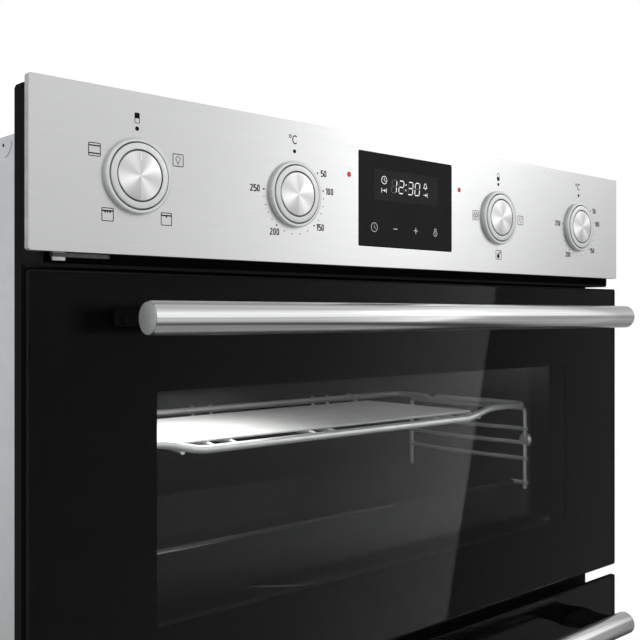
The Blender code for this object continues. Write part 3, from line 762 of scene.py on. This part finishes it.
def make_display():
    """The display's glass, housing, two lamps, lit and unlit figures, and touch signs."""
    low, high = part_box("display_module")
    face, glass_back = 0.0003, 0.0030
    glass = prism("Y", face, glass_back, display_outline(-0.0001, 0.0010))
    piece("display_glass", glass, DISPLAY_GLASS, "chassis", "black_glass", "display_module", bevel=0.0002)
    half = high.x
    body = prism("Y", 0.0032, high.y - FRONT, rounded(-half, half, low.z, high.z, 0.002))
    piece("display_housing", body, BLACK_PLASTIC, "chassis", "black_glass", bevel=0.0004)
    dome = [
        (0.0002, -0.0004), (0.0007, -0.0003), (0.0011, 0.0), (0.0013, 0.0005),
        (0.0013, 0.0015), (0.0026, 0.0015), (0.0026, 0.012),
    ]
    for side, name in SIDES:
        lens = turned("Y", (side * LAMP_X, LAMP_Z), dome, 24)
        piece(f"lamp_dome_{name}", lens, RED_LENS, "chassis", "red_lens", f"indicator_lamp_{name}")

    film = 0.00002
    window = Ink(face, film)
    window.fill(rounded(-0.035, 0.035, 0.8406, 0.8627, 0.0006, 3))
    window.done("display_window", DISPLAY_WINDOW, slot="black_glass")
    lit, dim, touch = Ink(face - film), Ink(face - film, 0.00003), Ink(face)
    width, height, thick, slant = 0.0050, 0.0092, 0.00070, 0.10
    base = 0.8470
    for character, x in (("1", -0.0170), ("2", -0.0093), ("3", 0.0008), ("0", 0.0083)):
        for name in "abcdefg":
            pen = lit if name in SEGMENTS[character] else dim
            points = segment(name, width, height, thick)
            pen.at(x, base).fill([(a + slant * b, b) for a, b in points])
    for z in (0.0028, 0.0068):
        lit.at(-0.0019 + slant * z, base + z).fill(circle(0, 0, 0.00055, 12))
    draw_clock(lit.at(-0.0247, 0.8552, 0.0062))
    draw_timer(lit.at(-0.0247, 0.8477, 0.0058), True)
    draw_bell(lit.at(0.0203, 0.8548, 0.0058))
    draw_timer(lit.at(0.0203, 0.8480, 0.0058), False)

    touch_z, stroke = 0.8205, 0.0007
    draw_clock(touch.at(-0.035, touch_z, 0.0072))
    for x in (-0.0128, 0.0096):
        touch.at(x, touch_z).line([(-0.0022, 0), (0.0022, 0)], stroke)
    for low_end, high_end in ((0.00036, 0.0023), (-0.0023, -0.00036)):
        touch.line([(0, low_end), (0, high_end)], stroke)
    draw_lock(touch.at(0.0320, touch_z, 0.0062))
    lit.done("display_lit", LIT_SEGMENT, slot="black_glass")
    dim.done("display_unlit", DIM_SEGMENT, slot="black_glass")
    touch.done("touch_marks", TOUCH_ICON, slot="black_glass")


def draw_clock(ink):
    ink.line(circle(0, 0, 0.44, 24), 0.07, closed=True)
    ink.line([(0, 0.26), (0, 0), (0.20, -0.14)], 0.06)


def draw_bell(ink):
    dome = arc(0, 0.12, 0.20, 180, 0, 8)
    ink.line([(-0.34, -0.24), (-0.22, -0.10)] + dome + [(0.22, -0.10), (0.34, -0.24)], 0.07)
    ink.line([(-0.36, -0.26), (0.36, -0.26)], 0.07)
    ink.fill(circle(0, -0.38, 0.08, 10))


def draw_timer(ink, start_bar):
    """An arrow that runs up to a bar, from another one if asked."""
    ink.line([(-0.34, 0), (0.10, 0)], 0.07)
    ink.fill([(0.04, 0.18), (0.30, 0), (0.04, -0.18)])
    ink.line([(0.40, -0.28), (0.40, 0.28)], 0.07)
    if start_bar:
        ink.line([(-0.46, -0.28), (-0.46, 0.28)], 0.07)


def draw_lock(ink):
    ink.line(circle(0, -0.14, 0.30, 20), 0.10, closed=True)
    ink.line(arc(0, 0.28, 0.17, -20, 200, 10), 0.10)
    ink.fill(circle(0, -0.12, 0.08, 10))


# Doors


def make_door(oven):
    """Outer glass with its black print, inner glass, frame and bar handle."""
    body = f"{oven}_door"
    low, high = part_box(f"{oven}_door_glass")
    front, back = low.y - FRONT, high.y - FRONT
    clear, edge, gap = front + 0.0017, 0.0011, 0.00003
    pane = prism("Y", front, clear, face_of(low, high, 0.0016, 6, edge))
    piece(f"{oven}_door_pane", pane, PANE, body, "clear_glass", f"{oven}_door_glass")
    whole = face_of(low, high, 0.0022, 6)
    window = rounded(-WINDOW_HALF, WINDOW_HALF, low.z + WINDOW_BELOW, high.z - WINDOW_ABOVE, 0.0025, 6)
    frit = prism("Y", clear + gap, back, whole, window)
    piece(f"{oven}_door_print", frit, BLACK_FRIT, body, "black_glass", bevel=0.0003)
    inside = face_of(low, high, 0.0016, 6, edge + gap)
    border = prism("Y", front + 0.0001, clear + 0.00002, whole, inside)
    piece(f"{oven}_door_edge", border, BLACK_METAL, body, "black_glass", bevel=0.0003)

    low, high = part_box(f"{oven}_door_inner_glass")
    pane = prism("Y", low.y - FRONT, high.y - FRONT, face_of(low, high, 0.004, 6))
    piece(f"{oven}_inner_pane", pane, PANE, body, "clear_glass", f"{oven}_door_inner_glass", bevel=0.0003)
    repaint(BLACK_METAL, f"{oven}_door_frame")
    make_handle(oven, body)


def make_handle(oven, body):
    """A brushed tube with a dark cap in each end, on two flat posts."""
    low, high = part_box(f"{oven}_door_handle")
    radius = (high.z - low.z) / 2
    depth, z = low.y - FRONT + radius, (low.z + high.z) / 2
    cap = 0.0012
    section = [
        (radius - 0.0006, low.x + cap * 0.6), (radius, low.x + cap * 1.4),
        (radius, high.x - cap * 1.4), (radius - 0.0006, high.x - cap * 0.6),
        (radius - 0.0016, high.x - cap), (radius - 0.0016, low.x + cap),
    ]
    tube = turned("X", (depth, z), section, ring=True)
    piece(f"{oven}_handle_tube", tube, HANDLE_TUBE, body, "handle_metal", f"{oven}_door_handle")
    for side, name in SIDES:
        end = side * high.x
        inner = end - side * 0.0018
        profile = [
            (0.0004, end), (radius - 0.0020, end), (radius - 0.0008, end - side * 0.0006),
            (radius - 0.0017, inner), (0.0004, inner),
        ]
        plug = turned("X", (depth, z), profile)
        piece(f"{oven}_handle_cap_{name}", plug, HANDLE_CAP, body, "handle_metal")
        x = side * POST_X
        foot = rounded(x - 0.0175, x + 0.0175, z - 0.005, z + 0.005, 0.0022, 6)
        neck = rounded(x - 0.0160, x + 0.0160, z - 0.0042, z + 0.0042, 0.0020, 6)
        post = layered("Y", (depth + radius * 0.7, neck), (-0.010, neck), (-0.002, foot), (0.0012, foot))
        piece(f"{oven}_handle_post_{name}", post, BLACK_POST, body, "handle_metal")


# Ovens' insides


def make_rack(oven, side, name):
    """A wire rack: an upright at each end, runners that kink inboard, and a mounting stud."""
    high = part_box(f"{oven}_rack_{name}")[1]
    wall, inboard, radius = side * 0.2352, side * 0.2318, 0.002
    front, back = 0.062, high.y - FRONT - 0.003
    levels = RUNNERS[oven]
    top, foot = levels[-1], levels[0] - 0.0055
    hoop = [
        (wall, front, foot), (wall, front, top), (wall, front + 0.028, top),
        (inboard, front + 0.040, top), (inboard, back - 0.040, top), (wall, back - 0.030, top),
        (wall, back, top), (wall, back, foot),
    ]
    bm = sweep(rounded_route(hoop, 0.004), radius)
    for z in levels[:-1]:
        runner = [
            (wall, front - 0.0025, z), (wall, front + 0.024, z), (inboard, front + 0.036, z),
            (inboard, back - 0.036, z), (wall, back - 0.024, z), (wall, back + 0.0025, z),
        ]
        sweep(rounded_route(runner, 0.006), radius, bm=bm)
    stud_z = (levels[1] + levels[-1]) / 2 - 0.006
    stud = [(0.0066, side * 0.2372), (0.0066, wall), (0.0050, side * 0.2335), (0.0004, side * 0.2330)]
    turned("X", (front, stud_z), stud, 24, bm=bm)
    piece(f"{oven}_wire_rack_{name}", bm, CHROME_WIRE, "chassis", "chromed_wire", f"{oven}_rack_{name}")


def make_shelf(oven):
    """A wire shelf: a frame that is low along the front, notched side wires, and close cross wires."""
    low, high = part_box(f"{oven}_shelf")
    radius, drop, corner = 0.003, 0.007, 0.012
    half = high.x - radius
    z = high.z - radius
    front, back = low.y - FRONT + radius, high.y - FRONT - radius
    notch = back - 0.050
    # Each point's fourth value is how far its bend reaches.
    right = [
        (0, back, z, 0), (half, back, z, corner), (half, notch + 0.007, z, 0.003),
        (half, notch, z - 0.0045, 0.003), (half, notch - 0.007, z, 0.003), (half, front, z, corner),
        (0.176, front, z, 0.008), (0.146, front, z - drop, 0.008),
    ]
    left = [(-x, y, level, bend) for x, y, level, bend in right[:0:-1]]
    bm = sweep(rounded_route(right + left + right[:1])[:-1], radius, 12, closed=True)
    long_x, deck = 0.160, z - drop
    support, tuck = deck + 0.0015, deck - 0.002
    for side in (-1, 1):
        x = side * long_x
        run = [
            (x, front, deck), (x, front + 0.010, support), (x, back - 0.010, support),
            (x, back, z + 0.0026), (x, back + 0.004, z + 0.0020),
        ]
        sweep(rounded_route(run, 0.004), 0.002, bm=bm)
    for x in (-0.131, -0.111, -0.034, -0.014, 0.111, 0.131):
        run = [
            (x, front + 0.002, deck), (x, front + 0.010, support), (x, back - 0.030, support),
            (x, back - 0.022, tuck), (x, back + 0.003, tuck),
            (x, back + 0.0046, z), (x, back + 0.0042, z + 0.0034),
        ]
        sweep(run, 0.0016, bm=bm)
    piece(f"{oven}_wire_shelf", bm, CHROME_WIRE, f"{oven}_shelf", "chromed_wire", f"{oven}_shelf")

    bm, pitch, first, ends = bmesh.new(), 0.0038, 0.0140, 0.029
    end, level = long_x + 0.004, support + 0.0024
    for i in range(int((back - front - ends) / pitch)):
        y = front + first + i * pitch
        sweep([(-end, y, level), (end, y, level)], 0.0011, 8, bm=bm)
    piece(f"{oven}_shelf_deck", bm, FINE_WIRE, f"{oven}_shelf", "chromed_wire")


def make_tray():
    """An enamelled roasting tray with sloping sides and a rolled rim."""
    low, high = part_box("upper_tray")
    front, back, half = low.y - FRONT, high.y - FRONT, high.x

    def outline(inset, radius):
        return rounded(-half + inset, half - inset, front + inset, back - inset, radius, 10)

    floor, rim, sheet = low.z, high.z, 0.0012
    tray = layered(
        "Z",
        (floor + sheet, outline(0.028, 0.012)), (floor + sheet + 0.0008, outline(0.0245, 0.014)),
        (floor + sheet + 0.004, outline(0.0220, 0.016)), (rim - 0.002, outline(0.0110, 0.022)),
        (rim, outline(0.0095, 0.023)), (rim, outline(0.0008, 0.026)),
        (rim - 0.0006, outline(0, 0.026)), (rim - 0.0015, outline(0.0004, 0.026)),
        (rim - 0.0015, outline(0.0085, 0.023)), (rim - 0.004, outline(0.0100, 0.022)),
        (floor + 0.004, outline(0.0205, 0.016)), (floor + 0.0006, outline(0.0235, 0.014)),
        (floor, outline(0.028, 0.012)),
    )
    piece("roasting_tray", tray, ENAMEL, "upper_tray", "enamel", "upper_tray", angle=50)


def make_cavity(oven):
    """The enamelled liner, with round corners and a rolled front edge."""
    low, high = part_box(f"{oven}_cavity")
    half, floor, ceiling = LINER_HALF, low.z + LINER_MARGIN, high.z - LINER_MARGIN
    front, back, sheet = low.y - FRONT, high.y - FRONT, 0.0013

    def outline(out=0.0):
        return rounded(-half - out, half + out, floor - out, ceiling + out, 0.018 + max(out, 0), 10)

    tub = layered(
        "Y",
        (back - sheet, outline(-0.004)), (back - sheet - 0.001, outline(-0.0012)),
        (back - sheet - 0.004, outline()), (front + 0.003, outline()),
        (front + 0.0008, outline(0.0008)), (front, outline(0.003)),
        (front, outline(0.009)), (front + sheet, outline(0.009)), (front + sheet, outline(0.0035)),
        (front + 0.004, outline(sheet)), (back - 0.004, outline(sheet)),
        (back - 0.0008, outline(0.0005)), (back, outline(-0.004)),
    )
    piece(f"{oven}_liner", tub, ENAMEL, "chassis", "enamel", f"{oven}_cavity", angle=50)


def make_pressings(oven):
    """Pressed beads in the liner, the door seal, and the marks stamped in the frame beside the mouth."""
    low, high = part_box(f"{oven}_cavity")
    floor, ceiling, back = low.z + LINER_MARGIN, high.z - LINER_MARGIN, high.y - FRONT
    levels = RUNNERS[oven]
    side_panel = rounded(0.052, back - 0.014, levels[0] - 0.009, levels[-1] + 0.0135, 0.014, 6)
    bm = bmesh.new()
    for side in (-1, 1):
        sweep([(side * LINER_HALF, y, z) for y, z in side_panel], 0.0010, 8, closed=True, bm=bm)
    floor_front = 0.036
    reach = (back - floor_front) / 2
    floor_ring = circle(0, floor_front + reach, reach - 0.014, 96)
    sweep([(x, y, floor + 0.0001) for x, y in floor_ring], 0.0012, 8, closed=True, bm=bm)
    piece(f"{oven}_liner_beads", bm, ENAMEL, "chassis", "enamel")

    out, seal_y = 0.0045, 0.0265
    mouth = rounded(-LINER_HALF - out, LINER_HALF + out, floor - out, ceiling + out, 0.022, 8)
    seal = sweep([(x, seal_y, z) for x, z in mouth], 0.0012, closed=True)
    piece(f"{oven}_seal_tube", seal, RUBBER, "chassis", "rubber", f"{oven}_door_seal")

    marks, stroke = Ink(0.028, 0.0003), 0.0007
    slot = rounded(-0.0036, 0.0036, -0.0100, 0.0100, 0.0035, 5)
    for side in (-1, 1):
        x = side * 0.2505
        marks.at(x, ceiling - 0.051).line(circle(0, 0, 0.0038, 24), stroke, closed=True)
        for drop in (0.081, 0.106):
            marks.at(x, ceiling - drop).line(slot, stroke, closed=True)
    marks.done(f"{oven}_frame_stamps", BLACK_METAL)


def make_casing_marks():
    """A small hole, a black disc of painted shade, and a pressed arc near each upper front corner of the
    casing, and the panel's left end.

    A bright tab and the shaded strip of the panel's return show under that end.
    """
    casing_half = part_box("outer_wrap")[1].x
    for side, name in SIDES:
        x = side * casing_half
        bend = sweep([(x, y, z) for y, z in arc(0.0720, 0.8620, 0.0105, 190, 262, 10)], 0.0004, 8)
        piece(f"casing_arc_{name}", bend, ZINC, "chassis", "galvanised_sheet")
        # The hole is a thin black disc on the casing's side: painted shade for the hole's dark inside.
        rim = [(0.0011, x + side * 0.00004), (0.0011, x + side * 0.00010)]
        hole = turned("X", (0.0730, 0.8590), rim, 20)
        piece(f"casing_hole_painted_shade_{name}", hole, BLACK_METAL, "chassis", "galvanised_sheet")
    tab = prism("X", -0.2825, -0.2750, rectangle(0.0016, 0.0030, 0.7872, 0.7930))
    piece("panel_tab", tab, HANDLE_CAP, "chassis", "brushed_steel", bevel=0.0002)
    strip = prism("X", -0.2825, -0.2480, rectangle(0.0014, 0.0048, 0.7892, 0.7916))
    piece("panel_return_strip", strip, SHADED_STEEL, "chassis", "brushed_steel", bevel=0.0002)


make_panel()
for knob_number, knob_x in enumerate(KNOB_X, 1):
    make_knob(knob_number, knob_x)
make_print()
make_display()
for oven_name in OVENS:
    make_door(oven_name)
    make_cavity(oven_name)
    make_pressings(oven_name)
    make_shelf(oven_name)
    for hand, hand_name in SIDES:
        make_rack(oven_name, hand, hand_name)
make_tray()
make_casing_marks()
repaint(BLACK_METAL, "front_frame", "panel_carrier", "bottom_trim")
repaint(ZINC, "outer_wrap", "back_panel", "base_plate", "cooling_fan_housing")
repaint(BARE_STEEL, "fan_motor", "convection_fan", *(f"spindle_{number}" for number in range(1, 5)))
repaint(BARE_STEEL, *(f"{oven}_hinge_arm_{hand}" for oven in OVENS for _, hand in SIDES))
repaint(ENAMEL, "fan_cover")
repaint(HEATER, "grill_element", "ring_element")
repaint(WOOL, "insulation")
repaint(BLACK_PLASTIC, "terminal_block", "cooling_impeller")
repaint(PALE_PLASTIC, *(f"{oven}_{kind}" for oven in OVENS for kind in ("selector_switch", "thermostat")))
repaint(PANE, "upper_lamp_lens", "lower_lamp_lens")


# Studio


def graded(world, value, low, high, levels):
    """A grey that follows the value through (place, level) pairs between low and high."""
    spread = add_node(world, "ShaderNodeMapRange", {"Value": value, "From Min": low, "From Max": high})
    ramp = add_node(world, "ShaderNodeValToRGB", {"Fac": spread.outputs["Result"]})
    set_stops(ramp, [((place - low) / (high - low), (level,) * 3) for place, level in levels])
    return ramp.outputs["Color"]


def make_world():
    """White to look at and to light by.

    Reflections show a bright band above a dark horizon, with a lit card in front of the oven.
    """
    world = bpy.data.worlds.new("studio")
    bpy.context.scene.world = world
    world.use_nodes = True
    ray = add_node(world, "ShaderNodeTexCoord").outputs["Generated"]
    parts = add_node(world, "ShaderNodeSeparateXYZ", {"Vector": ray})
    # The card ends where a ray is square to this direction.
    card_end = (0.2160, 0.2877, -0.0531)
    across = add_node(world, "ShaderNodeVectorMath", {0: ray, 1: card_end}, operation="DOT_PRODUCT")

    def by_height(levels):
        """A grey by how many degrees the ray points above the horizon."""
        places = [(math.sin(math.radians(angle)), level) for angle, level in levels]
        return graded(world, parts.outputs["Z"], -1, 1, places)

    sky = by_height((
        (-90, 0.30), (-45, 0.34), (-42, 0.04), (-31, 0.04), (-21, 0.50),
        (-6, 1.25), (36, 1.3), (47, 0.75), (90, 0.6),
    ))
    mask = by_height(((-90, 0), (-27, 0), (-20, 1), (4, 1), (6, 0), (90, 0)))
    card = graded(
        world, across.outputs["Value"], -0.16, 0.02,
        ((-0.16, 0.66), (-0.13, 0.70), (-0.06, 1.02), (-0.0005, 1.85), (0.0, 0.36), (0.02, 0.42)),
    )
    ahead = graded(world, parts.outputs["Y"], -1, 1, ((-1, 1), (-0.08, 1), (0.05, 0), (1, 0)))
    masked = add_node(world, "ShaderNodeMath", {0: mask, 1: ahead}, operation="MULTIPLY")
    dimming = graded(world, parts.outputs["Y"], -1, 1, ((-1, 1), (-0.05, 1), (0.1, 0.55), (1, 0.55)))
    dimmed = add_node(world, "ShaderNodeVectorMath", {0: sky, "Scale": dimming}, operation="SCALE")
    seen = add_node(
        world, "ShaderNodeMix",
        {0: masked.outputs["Value"], 6: dimmed.outputs["Vector"], 7: card}, data_type="RGBA",
    )
    path = add_node(world, "ShaderNodeLightPath")
    mirrored = add_node(
        world, "ShaderNodeMath",
        {0: path.outputs["Is Glossy Ray"], 1: path.outputs["Is Transmission Ray"]},
        operation="MAXIMUM",
    )
    mix = add_node(
        world, "ShaderNodeMix",
        {0: mirrored.outputs["Value"], 6: (1, 1, 1, 1), 7: seen.outputs[2]}, data_type="RGBA",
    )
    world.node_tree.links.new(mix.outputs[2], world.node_tree.nodes["Background"].inputs["Color"])


def make_light(name, place, target, size, energy):
    light = bpy.data.lights.new(name, "AREA")
    light.shape = "RECTANGLE"
    light.size, light.size_y = size
    light.energy = energy
    lamp = bpy.data.objects.new(name, light)
    bpy.context.scene.collection.objects.link(lamp)
    lamp.location = place
    lamp.rotation_euler = (Vector(target) - Vector(place)).to_track_quat("-Z", "Y").to_euler()
    return lamp


def make_camera():
    """Level, turned to the right of square on, with a slight downward shift."""
    camera = bpy.data.cameras.new("camera")
    camera.lens, camera.sensor_width = 52.9, 36
    camera.shift_y = -0.0086
    camera.clip_start = 0.01
    view = bpy.data.objects.new("camera", camera)
    bpy.context.scene.collection.objects.link(view)
    view.location = (-0.520, FRONT - 0.468, 0.758)
    view.rotation_euler = (math.radians(90), 0, math.radians(-42.7))
    bpy.context.scene.camera = view


make_world()
make_camera()
make_light("softbox", (2.0, FRONT - 1.58, 1.85), (0.05, FRONT, 0.83), (0.75, 1.0), 6)
oven_light = make_light(
    "oven_light", (-0.145, FRONT + 0.125, 0.729), (-0.145, FRONT + 0.135, 0.66), (0.18, 0.16), 0.36
)
oven_light.data.spread = math.radians(150)
make_light("cavity_glow", (0.06, FRONT + 0.14, 0.731), (0.06, FRONT + 0.15, 0.60), (0.30, 0.12), 0.03)
bpy.context.scene.view_settings.view_transform = "Standard"
